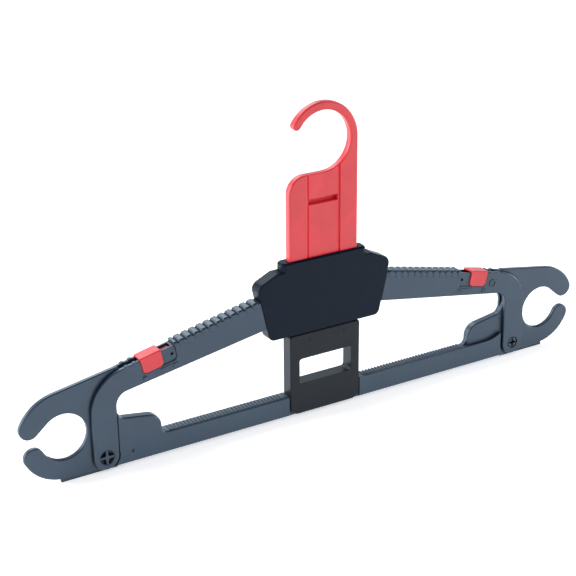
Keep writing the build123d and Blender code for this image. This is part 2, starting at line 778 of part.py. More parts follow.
with BuildPart() as leg:
    # The thick bar and the back of the hump, inward of the clevis
    with BuildSketch(SIDE) as thick_outline:
        leg_outline(thick_outline)
        with Locations((hump_inner_x, plate_neck_height), (pivot_reach, bar_bottom - overrun)):
            Rectangle(jaw_x, jaw_x, align=(Align.MIN, Align.MIN), mode=Mode.SUBTRACT)
    extrude(amount=bar_half, both=True)
    # The bar's front ends in a ledge that curves up beside the arm
    with BuildSketch(side(-bar_half)):
        with BuildLine():
            ledge_turn = degrees(asin((clevis_inner_x - ledge_turn_x) / ledge_radius))
            ledge_centre = (ledge_turn_x, bar_top + ledge_radius)
            CenterArc(ledge_centre, ledge_radius, -90, ledge_turn)
            Polyline(
                (ledge_turn_x, bar_top),
                (hump_inner_x - hump_foot_radius, bar_top),
                (hump_inner_x - hump_foot_radius, plate_neck_height),
                (clevis_inner_x, plate_neck_height),
                polar(ledge_centre, ledge_radius, ledge_turn - 90),
            )
        make_face()
    extrude(amount=-bar_half, mode=Mode.SUBTRACT)
    # The hump's back edge is well rounded, and so is the bar's
    fillet(hump_edges(leg, bar_half), hump_edge_round)
    long_edges = leg.edges().filter_by(Axis.X)
    chamfer(long_edges.group_by(Axis.Z)[0], bar_edge_bevel)
    chamfer(long_edges.group_by(Axis.Y)[0].sort_by(Axis.Z)[-1], bar_edge_bevel)
    with BuildSketch(side(bar_half)):
        with Locations((pivot_reach - dimple_inset, 0)):
            Circle(dimple_radius)
    extrude(amount=dimple_depth, mode=Mode.SUBTRACT)
    clevis_room(front_recess, -bar_half - overrun, 0)
    clevis_room(back_recess, 0, bar_half + overrun)
    with BuildSketch(SIDE):
        with Locations((pivot_reach, 0)):
            Circle(clevis_radius + heel_gap)
    extrude(amount=-bar_half - overrun, mode=Mode.SUBTRACT)
    # The bar's inner end is thinner, to go between the walls of the foot
    with BuildSketch(SIDE):
        with Locations((0, bar_bottom - overrun)):
            tongue_end_x = foot_half + swing_gap * 2
            Rectangle(tongue_end_x, bar_height + overrun * 2, align=(Align.MIN, Align.MIN))
    extrude(amount=bar_half + overrun, both=True, mode=Mode.SUBTRACT)
    with BuildSketch(SIDE):
        with Locations((bar_end_x, bar_bottom)):
            Rectangle(bar_tongue_length, bar_height, align=(Align.MIN, Align.MIN))
    extrude(amount=bar_tongue_thickness / 2, both=True)
    add(hump.part)
    add(leg_plate.part)
    # A lip runs under the pivot
    with BuildSketch(SIDE):
        with Locations((pivot_reach + lip_length, bar_bottom + overrun)):
            lip_span = lip_length + clevis_radius
            Rectangle(lip_span, lip_drop + overrun, align=(Align.MAX, Align.MAX))
    extrude(amount=lip_thickness / 2, both=True)
    with BuildSketch(SIDE):
        with Locations((pivot_reach, 0)):
            Circle(pin_radius + pin_gap)
    extrude(amount=bar_thickness, both=True, mode=Mode.SUBTRACT)

save(leg.part, "leg_right", "leg, right")
save(turned(leg.part), "leg_left", "leg, left")

# Lock clip and lock bar, right-hand end
with BuildPart() as lock_clip:
    with BuildSketch(SIDE) as flap:
        with BuildLine():
            Polyline(
                along_arm(clip_centre_x - clip_half, -clip_rise),
                along_arm(clip_centre_x + clip_half, -clip_rise),
                along_arm(clip_centre_x + clip_half, clip_depth - slide_gap),
                along_arm(clip_centre_x - clip_half, clip_depth - slide_gap),
                close=True,
            )
        make_face()
        for corner_x in (clip_centre_x - clip_half, clip_centre_x + clip_half):
            fillet(near(flap, along_arm(corner_x, clip_depth - slide_gap)), clip_flap_radius)
    extrude(amount=clip_outer_face, both=True)
    flap_edges = lock_clip.faces().filter_by(Axis.Y).edges().sort_by(Axis.Z)
    chamfer(flap_edges[:-2], clip_edge_bevel)
    top_edges = lock_clip.faces().filter_by(Axis.Y).edges().sort_by(Axis.Z)[-2:]
    fillet(top_edges, clip_top_round)
    with BuildSketch(SIDE):
        with BuildLine():
            Polyline(
                along_arm(clip_centre_x - clip_length, clip_top_wall - clip_rise),
                along_arm(clip_centre_x + clip_length, clip_top_wall - clip_rise),
                along_arm(clip_centre_x + clip_length, clip_depth + overrun),
                along_arm(clip_centre_x - clip_length, clip_depth + overrun),
                close=True,
            )
        make_face()
    extrude(amount=clip_outer_face - clip_wall, both=True, mode=Mode.SUBTRACT)

save(lock_clip.part, "lock_clip_right", "lock clip, right")
save(turned(lock_clip.part), "lock_clip_left", "lock clip, left")

with BuildPart() as lock_bar:
    with BuildSketch(SIDE):
        with BuildLine():
            Polyline(
                along_arm(bar_inner_x, bar_top_depth),
                along_arm(bar_outer_x - stem_length, bar_top_depth),
                along_arm(bar_outer_x - stem_length, clip_top_wall - clip_rise),
                along_arm(bar_outer_x, clip_top_wall - clip_rise),
                along_arm(bar_outer_x, bar_top_depth + bar_depth),
                along_arm(bar_inner_x, bar_top_depth + bar_depth),
                close=True,
            )
        make_face()
    extrude(amount=lock_bar_width / 2, both=True)

save(lock_bar.part, "lock_bar_right", "lock bar, right")
save(turned(lock_bar.part), "lock_bar_left", "lock bar, left")
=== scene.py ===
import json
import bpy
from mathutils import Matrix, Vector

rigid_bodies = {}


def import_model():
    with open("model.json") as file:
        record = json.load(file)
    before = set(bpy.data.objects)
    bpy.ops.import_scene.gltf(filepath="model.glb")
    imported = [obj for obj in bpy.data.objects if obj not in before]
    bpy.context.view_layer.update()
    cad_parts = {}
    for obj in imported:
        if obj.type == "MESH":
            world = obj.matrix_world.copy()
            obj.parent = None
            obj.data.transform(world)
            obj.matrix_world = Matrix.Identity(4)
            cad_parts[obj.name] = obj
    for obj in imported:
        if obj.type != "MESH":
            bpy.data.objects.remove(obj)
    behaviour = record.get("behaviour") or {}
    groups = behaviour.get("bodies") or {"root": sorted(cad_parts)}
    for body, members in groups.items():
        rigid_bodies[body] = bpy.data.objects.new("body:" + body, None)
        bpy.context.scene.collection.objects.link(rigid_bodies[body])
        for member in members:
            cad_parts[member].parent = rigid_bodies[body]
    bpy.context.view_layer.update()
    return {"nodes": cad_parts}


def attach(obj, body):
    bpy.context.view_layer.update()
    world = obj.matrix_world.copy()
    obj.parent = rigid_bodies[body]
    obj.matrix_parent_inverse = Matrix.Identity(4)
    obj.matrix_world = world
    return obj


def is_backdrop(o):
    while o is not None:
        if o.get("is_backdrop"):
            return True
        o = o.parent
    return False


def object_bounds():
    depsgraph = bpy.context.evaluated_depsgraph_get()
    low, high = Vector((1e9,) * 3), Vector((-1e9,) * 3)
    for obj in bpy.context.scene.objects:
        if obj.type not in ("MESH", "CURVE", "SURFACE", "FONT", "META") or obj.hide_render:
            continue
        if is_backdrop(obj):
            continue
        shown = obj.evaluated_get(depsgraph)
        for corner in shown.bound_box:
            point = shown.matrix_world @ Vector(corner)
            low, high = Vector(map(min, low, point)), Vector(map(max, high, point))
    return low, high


bl_info = {
    "name": "Folding travel hanger",
    "version": (1, 0, 0),
    "blender": (4, 5, 0),
    "location": "View3D > Sidebar > Hanger",
    "description": "Dresses the folding travel hanger and its studio",
    "category": "Object",
}

from math import cos, radians, sin

import bpy
from bpy.props import FloatProperty, FloatVectorProperty, IntProperty, PointerProperty
from mathutils import Euler, Matrix, Vector

# Blender's own startup objects go first, so that only the hanger is measured
bpy.ops.object.select_all(action="SELECT")
bpy.ops.object.delete()

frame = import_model()

MM = 0.001

# Nodes that share a plastic
GREY_NODES = (
    "arm_left",
    "arm_right",
    "leg_left",
    "leg_right",
    "pivot_pin_left",
    "pivot_pin_right",
)
COLLAR_NODES = ("collar_front", "collar_back")
FOOT_NODES = ("hook_foot", "foot_pins")
HOOK_NODES = ("hook",)
CLIP_NODES = ("lock_clip_left", "lock_clip_right")
LOCK_BAR_NODES = ("lock_bar_left", "lock_bar_right")

# How strongly each plastic mirrors the room
SATIN_SHINE = 0.5
BAR_SHINE = 0.3
FOOT_SHINE = 0.2
COLLAR_SHINE = 0.1

# Pattern of the moulded surface
MELT_SCALE = 55.0
MELT_STOPS = (0.3, 0.7)
MELT_SHARES = (0.90, 1.08)
HANDLED_SCALE = 160.0
SHEEN_SPREAD = (-0.05, 0.07)
# Occlusion values between which a gap goes from full painted shading and dullness to none
SHADE_GAP_CLOSED = 0.40
SHADE_GAP_OPEN = 0.94
GRAIN_STRENGTH = 0.35

# A wave texture repeats after this length at a scale of 1
WAVE_LENGTH = 0.314159
TOP_FACING = (0.90, 0.96)
GRIP_STRENGTH = 0.6


class HangerPlastics(bpy.types.PropertyGroup):
    """Colours and surface of the moulded plastics, with the painted shading of their gaps."""

    grey: FloatVectorProperty(
        name="Blue-grey",
        description="Colour of the arms, the legs and the pivot pins",
        subtype="COLOR",
        size=3,
        min=0.0,
        max=1.0,
        default=(0.014, 0.032, 0.060),
    )
    # Painted shade: the dark colour that the grey, navy and black plastics turn to in gaps,
    # standing in for shade
    grey_painted_shade: FloatVectorProperty(
        name="Blue-grey painted shade in gaps",
        description="Painted shade: the blue-grey darkened at the bottom of a gap",
        subtype="COLOR",
        size=3,
        min=0.0,
        max=1.0,
        default=(0.001, 0.002, 0.004),
    )
    navy: FloatVectorProperty(
        name="Navy",
        description="Colour of the collar",
        subtype="COLOR",
        size=3,
        min=0.0,
        max=1.0,
        default=(0.003, 0.007, 0.016),
    )
    black: FloatVectorProperty(
        name="Black",
        description="Colour of the foot of the hook",
        subtype="COLOR",
        size=3,
        min=0.0,
        max=1.0,
        default=(0.006, 0.007, 0.011),
    )
    red: FloatVectorProperty(
        name="Red",
        description="Colour of the hook and the locks",
        subtype="COLOR",
        size=3,
        min=0.0,
        max=1.0,
        default=(0.65, 0.032, 0.040),
    )
    # Painted light: a brighter, bare red that the red turns to in gaps, standing in for light
    # shining through the red plastic
    red_painted_glow: FloatVectorProperty(
        name="Red painted glow in gaps",
        description="Painted light: a brighter, bare red at the bottom of a gap",
        subtype="COLOR",
        size=3,
        min=0.0,
        max=1.0,
        default=(0.95, 0.004, 0.020),
    )
    # Painted shade: the red darkened for the lock bars, standing in for the shade of the slots
    # they sit in
    bar_red_painted_shade: FloatVectorProperty(
        name="Dark red",
        description="Colour of the lock bars inside the arms, darkened as painted shade of the slots",
        subtype="COLOR",
        size=3,
        min=0.0,
        max=1.0,
        default=(0.26, 0.012, 0.022),
    )
    roughness: FloatProperty(
        name="Roughness",
        description="How far the satin surface spreads its reflections",
        subtype="FACTOR",
        min=0.0,
        max=1.0,
        default=0.34,
    )
    gap_roughness: FloatProperty(
        name="Roughness in gaps",
        description="How far a gap spreads its reflections",
        subtype="FACTOR",
        min=0.0,
        max=1.0,
        default=0.9,
    )
    grain: FloatProperty(
        name="Grain size",
        description="Width of one grain of the eroded mould texture",
        subtype="DISTANCE",
        unit="LENGTH",
        default=0.35 * MM,
    )
    grain_depth: FloatProperty(
        name="Grain depth",
        description="Height of the mould texture",
        subtype="DISTANCE",
        unit="LENGTH",
        default=0.012 * MM,
    )
    grip_pitch: FloatProperty(
        name="Grip line pitch",
        description="Distance from one raised line to the next on a clip's top",
        subtype="DISTANCE",
        unit="LENGTH",
        default=0.9 * MM,
    )
    grip_height: FloatProperty(
        name="Grip line height",
        description="Height of the raised lines on a clip's top",
        subtype="DISTANCE",
        unit="LENGTH",
        default=0.15 * MM,
    )
    # Painted shading: how far from a wall the colour starts to turn to the gap colour
    painted_shading_reach: FloatProperty(
        name="Painted shading reach",
        description="How far from a neighbouring wall the painted shading of a gap begins",
        subtype="DISTANCE",
        unit="LENGTH",
        default=1.9 * MM,
    )
    edge_round: FloatProperty(
        name="Edge rounding",
        description="Radius at which sharp edges catch the light",
        subtype="DISTANCE",
        unit="LENGTH",
        default=0.45 * MM,
    )


class HangerRibs(bpy.types.PropertyGroup):
    """The fine ribs that keep cloth from slipping."""

    pitch: FloatProperty(
        name="Bar rib pitch",
        description="Distance from one rib to the next along the bar",
        subtype="DISTANCE",
        unit="LENGTH",
        default=2.24 * MM,
    )
    width: FloatProperty(
        name="Bar rib width",
        description="Width of a rib along the bar",
        subtype="DISTANCE",
        unit="LENGTH",
        default=1.25 * MM,
    )
    height: FloatProperty(
        name="Rib height",
        description="How far a rib stands above the plastic",
        subtype="DISTANCE",
        unit="LENGTH",
        default=0.55 * MM,
    )
    bar_count: IntProperty(
        name="Bar ribs",
        description="Number of ribs on each bar",
        min=1,
        default=34,
    )
    eye_count: IntProperty(
        name="Eye ribs",
        description="Number of ribs in each jaw's eye",
        min=1,
        default=20,
    )


class HangerSigns(bpy.types.PropertyGroup):
    """The raised padlocks beside each lock."""

    body_width: FloatProperty(
        name="Padlock width",
        description="Width of a padlock's body",
        subtype="DISTANCE",
        unit="LENGTH",
        default=3.2 * MM,
    )
    body_height: FloatProperty(
        name="Padlock height",
        description="Height of a padlock's body",
        subtype="DISTANCE",
        unit="LENGTH",
        default=2.2 * MM,
    )
    stroke: FloatProperty(
        name="Stroke",
        description="Width of the raised lines",
        subtype="DISTANCE",
        unit="LENGTH",
        default=0.45 * MM,
    )
    relief: FloatProperty(
        name="Relief",
        description="How far the signs stand above the plastic",
        subtype="DISTANCE",
        unit="LENGTH",
        default=0.35 * MM,
    )


class HangerStudio(bpy.types.PropertyGroup):
    """Camera, floor and lamps."""

    focal_length: FloatProperty(
        name="Focal length",
        description="Focal length on a 36 mm sensor",
        subtype="DISTANCE_CAMERA",
        unit="CAMERA",
        default=92.44,
    )
    camera_place: FloatVectorProperty(
        name="Camera",
        description="Where the camera stands",
        subtype="TRANSLATION",
        unit="LENGTH",
        size=3,
        default=(-0.43067, -0.67909, 0.24589),
    )
    camera_turn: FloatProperty(
        name="Turn",
        description="Compass turn of the camera from the upright plane",
        subtype="ANGLE",
        unit="ROTATION",
        default=radians(30.967),
    )
    camera_tilt: FloatProperty(
        name="Tilt",
        description="How far the camera looks down",
        subtype="ANGLE",
        unit="ROTATION",
        default=radians(22.695),
    )
    camera_roll: FloatProperty(
        name="Roll",
        description="Turn of the camera about its own line of sight",
        subtype="ANGLE",
        unit="ROTATION",
        default=radians(0.530),
    )
    floor_colour: FloatVectorProperty(
        name="Floor",
        description="Colour of the floor",
        subtype="COLOR",
        size=3,
        min=0.0,
        max=1.0,
        default=(0.93, 0.93, 0.935),
    )
    floor_glow: FloatProperty(
        name="Floor glow",
        description="How much paler the floor looks than its lamps alone make it",
        min=0.0,
        default=0.5,
    )
    floor_mirrored: FloatProperty(
        name="Floor in reflections",
        description="How much paler the floor shows in the satin plastic",
        min=0.0,
        default=1.1,
    )
    mirror_tint: FloatVectorProperty(
        name="Tint of reflections",
        description="Colour of the floor and the walls in the satin plastic",
        subtype="COLOR",
        size=3,
        min=0.0,
        max=1.0,
        default=(0.72, 0.90, 1.0),
    )
    floor_size: FloatProperty(
        name="Floor size",
        description="Side of the square floor",
        subtype="DISTANCE",
        unit="LENGTH",
        default=9.0,
    )
    lamp_tint: FloatVectorProperty(
        name="Lamp tint",
        description="Colour of all the lamps",
        subtype="COLOR",
        size=3,
        min=0.0,
        max=1.0,
        default=(0.90, 0.95, 1.0),
    )
    side_power: FloatProperty(
        name="Side lamp",
        description="Power of the lamp that draws a light line on edges that face right",
        subtype="POWER",
        unit="POWER",
        min=0.0,
        default=9.0,
    )
    room_light: FloatProperty(
        name="Room light",
        description="Strength of the even light from all round",
        min=0.0,
        default=0.62,
    )
    wall_light: FloatProperty(
        name="Walls",
        description="How bright the walls show in a reflection",
        min=0.0,
        default=1.2,
    )
    ceiling_light: FloatProperty(
        name="Ceiling",
        description="How bright the ceiling shows in a reflection",
        min=0.0,
        default=0.05,
    )
    key_power: FloatProperty(
        name="Key lamp",
        description="Power of the large lamp above and behind",
        subtype="POWER",
        unit="POWER",
        min=0.0,
        default=7.0,
    )
    edge_power: FloatProperty(
        name="Edge lamp",
        description="Power of the lamp that lights the edges from the left",
        subtype="POWER",
        unit="POWER",
        min=0.0,
        default=22.0,
    )
    front_power: FloatProperty(
        name="Front lamp",
        description="Power of the soft lamp beside the camera",
        subtype="POWER",
        unit="POWER",
        min=0.0,
        default=5.0,
    )


def deselect():
    """Leaves nothing selected."""
    bpy.ops.object.select_all(action="DESELECT")


def settle(piece):
    """Puts a piece's place, turn and scale into its mesh."""
    deselect()
    piece.select_set(True)
    bpy.context.view_layer.objects.active = piece
    bpy.ops.object.transform_apply(location=True, rotation=True, scale=True)


def join(pieces, name):
    """Makes one piece of several."""
    deselect()
    for piece in pieces:
        piece.select_set(True)
    bpy.context.view_layer.objects.active = pieces[0]
    if len(pieces) > 1:
        bpy.ops.object.join()
    joined = bpy.context.view_layer.objects.active
    joined.name = name
    joined.data.name = name
    return joined


def copied(piece, name, matrix):
    """A copy with its own mesh, moved by a matrix."""
    copy = piece.copy()
    copy.data = piece.data.copy()
    copy.data.transform(matrix)
    copy.name = name
    copy.data.name = name
    bpy.context.collection.objects.link(copy)
    return copy


def rounded_block(size, edge):
    """A block at the origin with all its edges rounded."""
    deselect()
    bpy.ops.mesh.primitive_cube_add(size=1.0)
    block = bpy.context.active_object
    block.scale = size
    settle(block)
    bpy.ops.object.mode_set(mode="EDIT")
    bpy.ops.mesh.select_all(action="SELECT")
    bpy.ops.mesh.bevel(offset=edge, segments=2, affect="EDGES")
    bpy.ops.object.mode_set(mode="OBJECT")
    bpy.ops.object.shade_smooth_by_angle(angle=radians(50))
    return block


def finish_piece(piece, body, plastic):
    """Gives a new piece its plastic and fixes it to a body."""
    piece.data.materials.clear()
    piece.data.materials.append(plastic)
    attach(piece, body)


def new_node(nodes, kind, label, settings):
    """A labelled node with its own values set."""
    node = nodes.new(kind)
    node.label = label
    for socket, value in settings.items():
        node.inputs[socket].default_value = value
    return node


def moulded_plastic(name, colour, painted_gap_colour, shine):
    """Satin plastic with a mottled colour, painted shading in its gaps, an uneven sheen and an
    eroded grain.
    """
    plastics = bpy.context.scene.hanger_plastics
    material = bpy.data.materials.new(name)
    material.use_nodes = True
    nodes = material.node_tree.nodes
    links = material.node_tree.links
    shader = nodes["Principled BSDF"]
    shader.inputs["Specular IOR Level"].default_value = shine
    place = nodes.new("ShaderNodeTexCoord")

    flow = new_node(
        nodes,
        "ShaderNodeTexNoise",
        "Flow of the melt",
        {"Scale": MELT_SCALE, "Detail": 3.0, "Distortion": 0.6},
    )
    links.new(place.outputs["Object"], flow.inputs["Vector"])
    tint = new_node(nodes, "ShaderNodeValToRGB", "Mottled colour", {})
    for stop, position, share in zip(tint.color_ramp.elements, MELT_STOPS, MELT_SHARES):
        stop.position = position
        stop.color = (*[min(channel * share, 1.0) for channel in colour], 1.0)
    links.new(flow.outputs["Fac"], tint.inputs["Fac"])

    # Painted shading: near walls the colour turns to the gap colour, standing in for the light and
    # shade a gap gets
    gap_occlusion = new_node(
        nodes, "ShaderNodeAmbientOcclusion", "Walls near by", {"Distance": plastics.painted_shading_reach}
    )
    gap_occlusion.samples = 8
    painted_shading_and_dull_mask = new_node(
        nodes,
        "ShaderNodeMapRange",
        "Open to the room",
        {"From Min": SHADE_GAP_CLOSED, "From Max": SHADE_GAP_OPEN},
    )
    links.new(gap_occlusion.outputs["AO"], painted_shading_and_dull_mask.inputs["Value"])
    painted_gap_shading = new_node(nodes, "ShaderNodeMix", "Painted shading in gaps", {})
    painted_gap_shading.data_type = "RGBA"
    painted_gap_shading.inputs["A"].default_value = (*painted_gap_colour, 1.0)
    links.new(painted_shading_and_dull_mask.outputs["Result"], painted_gap_shading.inputs["Factor"])
    links.new(tint.outputs["Color"], painted_gap_shading.inputs["B"])
    links.new(painted_gap_shading.outputs["Result"], shader.inputs["Base Color"])

    handled = new_node(
        nodes, "ShaderNodeTexNoise", "Handled patches", {"Scale": HANDLED_SCALE, "Detail": 4.0}
    )
    links.new(place.outputs["Object"], handled.inputs["Vector"])
    sheen = new_node(
        nodes,
        "ShaderNodeMapRange",
        "Uneven sheen",
        {
            "To Min": plastics.roughness + SHEEN_SPREAD[0],
            "To Max": plastics.roughness + SHEEN_SPREAD[1],
        },
    )
    links.new(handled.outputs["Fac"], sheen.inputs["Value"])
    dull = new_node(nodes, "ShaderNodeMix", "Dull in gaps", {"A": plastics.gap_roughness})
    links.new(painted_shading_and_dull_mask.outputs["Result"], dull.inputs["Factor"])
    links.new(sheen.outputs["Result"], dull.inputs["B"])
    links.new(dull.outputs["Result"], shader.inputs["Roughness"])

    grain = new_node(
        nodes, "ShaderNodeTexNoise", "Eroded grain", {"Scale": 1.0 / plastics.grain, "Detail": 2.0}
    )
    links.new(place.outputs["Object"], grain.inputs["Vector"])
    rounding = new_node(
        nodes, "ShaderNodeBevel", "Rounded edges", {"Radius": plastics.edge_round}
    )
    rounding.samples = 6
    bump = new_node(
        nodes,
        "ShaderNodeBump",
        "Grain relief",
        {"Strength": GRAIN_STRENGTH, "Distance": plastics.grain_depth},
    )
    links.new(grain.outputs["Fac"], bump.inputs["Height"])
    links.new(rounding.outputs["Normal"], bump.inputs["Normal"])
    links.new(bump.outputs["Normal"], shader.inputs["Normal"])
    return material


def add_grip_lines(material):
    """Fine raised lines on the top of a clip, over its grain."""
    plastics = bpy.context.scene.hanger_plastics
    nodes = material.node_tree.nodes
    links = material.node_tree.links
    shader = nodes["Principled BSDF"]
    place = nodes.new("ShaderNodeTexCoord")
    lines = new_node(
        nodes, "ShaderNodeTexWave", "Grip lines", {"Scale": WAVE_LENGTH / plastics.grip_pitch}
    )
    lines.wave_profile = "SIN"
    lines.bands_direction = "X"
    links.new(place.outputs["Object"], lines.inputs["Vector"])

    surface = nodes.new("ShaderNodeNewGeometry")
    facing = nodes.new("ShaderNodeSeparateXYZ")
    links.new(surface.outputs["True Normal"], facing.inputs["Vector"])
    top = new_node(
        nodes,
        "ShaderNodeMapRange",
        "Only on the top",
        {"From Min": TOP_FACING[0], "From Max": TOP_FACING[1], "To Max": GRIP_STRENGTH},
    )
    links.new(facing.outputs["Z"], top.inputs["Value"])

    raised = new_node(
        nodes, "ShaderNodeBump", "Raised lines", {"Distance": plastics.grip_height}
    )
    links.new(top.outputs["Result"], raised.inputs["Strength"])
    links.new(lines.outputs["Fac"], raised.inputs["Height"])
    links.new(shader.inputs["Normal"].links[0].from_socket, raised.inputs["Normal"])
    links.new(raised.outputs["Normal"], shader.inputs["Normal"])


def plastic_named(name, colour, painted_gap_colour, shine):
    """The plastic of that name, made on its first use."""
    return bpy.data.materials.get(name) or moulded_plastic(name, colour, painted_gap_colour, shine)


def grey_plastic():
    """The blue-grey of the arms, the legs, the ribs and the signs."""
    plastics = bpy.context.scene.hanger_plastics
    return plastic_named("Blue-grey plastic", plastics.grey, plastics.grey_painted_shade, SATIN_SHINE)


def dress(nodes, plastic):
    """Gives carried-over mouldings their plastic."""
    for node in nodes:
        mesh = frame["nodes"][node].data
        mesh.materials.clear()
        mesh.materials.append(plastic)


class HANGER_OT_finish_frame(bpy.types.Operator):
    """Blue-grey plastic on the arms, the legs and the pivot pins"""

    bl_idname = "hanger.finish_frame"
    bl_label = "Finish arms and legs"

    def execute(self, context):
        dress(GREY_NODES, grey_plastic())
        return {"FINISHED"}


class HANGER_OT_finish_collar(bpy.types.Operator):
    """Navy plastic on the two shells of the collar"""

    bl_idname = "hanger.finish_collar"
    bl_label = "Finish collar"

    def execute(self, context):
        plastics = context.scene.hanger_plastics
        navy = plastic_named("Navy plastic", plastics.navy, plastics.grey_painted_shade, COLLAR_SHINE)
        dress(COLLAR_NODES, navy)
        return {"FINISHED"}


class HANGER_OT_finish_hook(bpy.types.Operator):
    """Red plastic on the hook and black plastic on its foot"""

    bl_idname = "hanger.finish_hook"
    bl_label = "Finish hook"

    def execute(self, context):
        plastics = context.scene.hanger_plastics
        red = plastic_named("Red plastic", plastics.red, plastics.red_painted_glow, SATIN_SHINE)
        dress(HOOK_NODES, red)
        black = plastic_named("Black plastic", plastics.black, plastics.grey_painted_shade, FOOT_SHINE)
        dress(FOOT_NODES, black)
        return {"FINISHED"}


class HANGER_OT_finish_locks(bpy.types.Operator):
    """Red plastic on the lock clips, and on the lock bars inside the arms a darker red that is
    painted shade of the slots
    """

    bl_idname = "hanger.finish_locks"
    bl_label = "Finish locks"

    def execute(self, context):
        plastics = context.scene.hanger_plastics
        ribbed = plastic_named(
            "Ribbed red plastic", plastics.red, plastics.red_painted_glow, SATIN_SHINE
        )
        add_grip_lines(ribbed)
        dress(CLIP_NODES, ribbed)
        # Painted shade: the lock bars get the darker red that stands in for the shade of their
        # slots
        slot_shaded_red = plastic_named("Dark red plastic", plastics.bar_red_painted_shade, plastics.bar_red_painted_shade, BAR_SHINE)
        dress(LOCK_BAR_NODES, slot_shaded_red)
        return {"FINISHED"}


# Places on the right-hand end, in millimetres from the rail's axis
BAR_TOP = -154.0
BAR_RIB_START = 29.6
BAR_RIB_LENGTH = 6.8
BAR_RIB_SHIFT = 0.05
BAR_RIB_ROUND = 0.9
JAW_CENTRE = (167.9, -141.0)
JAW_RADIUS = 13.9
JAW_RIB_LENGTH = 1.5
JAW_RIB_FIRST = -128.0
JAW_RIB_STEP = 4.2
JAW_RIB_SHARE = 1.2
JAW_RIB_ROUND = 0.4
ARM_SLOPE = 12.4
ARM_FACE = 4.1
OPEN_SIGN = (99.6, -113.2)
SHUT_SIGN = (118.5, -117.1)
SIGN_LINE = (102.4, -112.3, 109.3, -113.8)
SIGN_ROUND = 0.6
SIGN_SINK = 0.7
SHACKLE_SWING = 28

HALF_TURN = Matrix.Rotation(radians(180), 4, "Z")


def at_mm(x, y, z):
    """A move to a place given in millimetres."""
    return Matrix.Translation(Vector((x, y, z)) * MM)


class HANGER_OT_add_bar_ribs(bpy.types.Operator):
    """Rounded ribs across the top of each bar"""

    bl_idname = "hanger.add_bar_ribs"
    bl_label = "Add bar ribs"

    def execute(self, context):
        ribs = context.scene.hanger_ribs
        rib = rounded_block(
            (ribs.width, BAR_RIB_LENGTH * MM, ribs.height * 2), ribs.height * BAR_RIB_ROUND
        )
        row = rib.modifiers.new("Row", "ARRAY")
        row.count = ribs.bar_count
        row.use_relative_offset = False
        row.use_constant_offset = True
        row.constant_offset_displace = (ribs.pitch, 0.0, 0.0)
        bpy.ops.object.modifier_apply(modifier=row.name)
        right = join([rib], "bar_ribs_right")
        right.data.transform(at_mm(BAR_RIB_START, BAR_RIB_SHIFT, BAR_TOP))
        left = copied(right, "bar_ribs_left", HALF_TURN)
        finish_piece(right, "leg_right", grey_plastic())
        finish_piece(left, "leg_left", grey_plastic())
        return {"FINISHED"}


class HANGER_OT_add_eye_ribs(bpy.types.Operator):
    """Fine ribs on the lower wall of each jaw's eye"""

    bl_idname = "hanger.add_eye_ribs"
    bl_label = "Add eye ribs"

    def execute(self, context):
        ribs = context.scene.hanger_ribs
        thickness = ribs.height * JAW_RIB_SHARE
        first = rounded_block(
            (thickness, JAW_RIB_LENGTH * MM, thickness), ribs.height * JAW_RIB_ROUND
        )
        row = []
        for number in range(ribs.eye_count):
            angle = JAW_RIB_FIRST + number * JAW_RIB_STEP
            reach = Vector((cos(radians(angle)), 0.0, sin(radians(angle)))) * JAW_RADIUS
            turn = Matrix.Rotation(radians(-angle - 90), 4, "Y")
            place = at_mm(JAW_CENTRE[0] + reach.x, 0.0, JAW_CENTRE[1] + reach.z)
            row.append(copied(first, "rib", place @ turn))
        bpy.data.objects.remove(first)
        right = join(row, "eye_ribs_right")
        left = copied(right, "eye_ribs_left", HALF_TURN)
        finish_piece(right, "leg_right", grey_plastic())
        finish_piece(left, "leg_left", grey_plastic())
        return {"FINISHED"}


def sink_front(piece, border, depth):
    """Sinks the face that looks to the front, inside a border."""
    deselect()
    piece.select_set(True)
    bpy.context.view_layer.objects.active = piece
    bpy.context.tool_settings.mesh_select_mode = (False, False, True)
    bpy.ops.object.mode_set(mode="EDIT")
    bpy.ops.mesh.select_all(action="DESELECT")
    bpy.ops.object.mode_set(mode="OBJECT")
    front = max(piece.data.polygons, key=lambda face: -face.normal.y * face.area)
    front.select = True
    bpy.ops.object.mode_set(mode="EDIT")
    bpy.ops.mesh.inset(thickness=border, depth=0.0)
    bpy.ops.mesh.extrude_region_move(TRANSFORM_OT_translate={"value": (0.0, depth, 0.0)})
    bpy.ops.object.mode_set(mode="OBJECT")


def padlock(name, swing):
    """A raised padlock at the origin, facing the front, with its shackle swung by an angle."""
    signs = bpy.context.scene.hanger_signs
    body = rounded_block(
        (signs.body_width, signs.relief * 2, signs.body_height), signs.relief * SIGN_ROUND
    )
    sink_front(body, signs.stroke, signs.relief * SIGN_SINK)
    arch = (signs.body_width - signs.stroke * 2) / 2
    deselect()
    bpy.ops.mesh.primitive_torus_add(
        major_radius=arch,
        minor_radius=signs.stroke / 2,
        major_segments=28,
        minor_segments=8,
        rotation=(radians(90), 0.0, 0.0),
    )
    shackle = bpy.context.active_object
    settle(shackle)
    bpy.ops.object.mode_set(mode="EDIT")
    bpy.ops.mesh.select_all(action="SELECT")
    bpy.ops.mesh.bisect(plane_co=(0, 0, 0), plane_no=(0, 0, 1), clear_inner=True, use_fill=True)
    bpy.ops.object.mode_set(mode="OBJECT")
    hinge = Matrix.Translation(Vector((arch, 0.0, 0.0)))
    swung = hinge @ Matrix.Rotation(swing, 4, "Y") @ hinge.inverted()
    lift = Matrix.Translation(Vector((0.0, 0.0, signs.body_height / 2 - signs.stroke / 2)))
    shackle.data.transform(lift @ swung)
    return join([body, shackle], name)


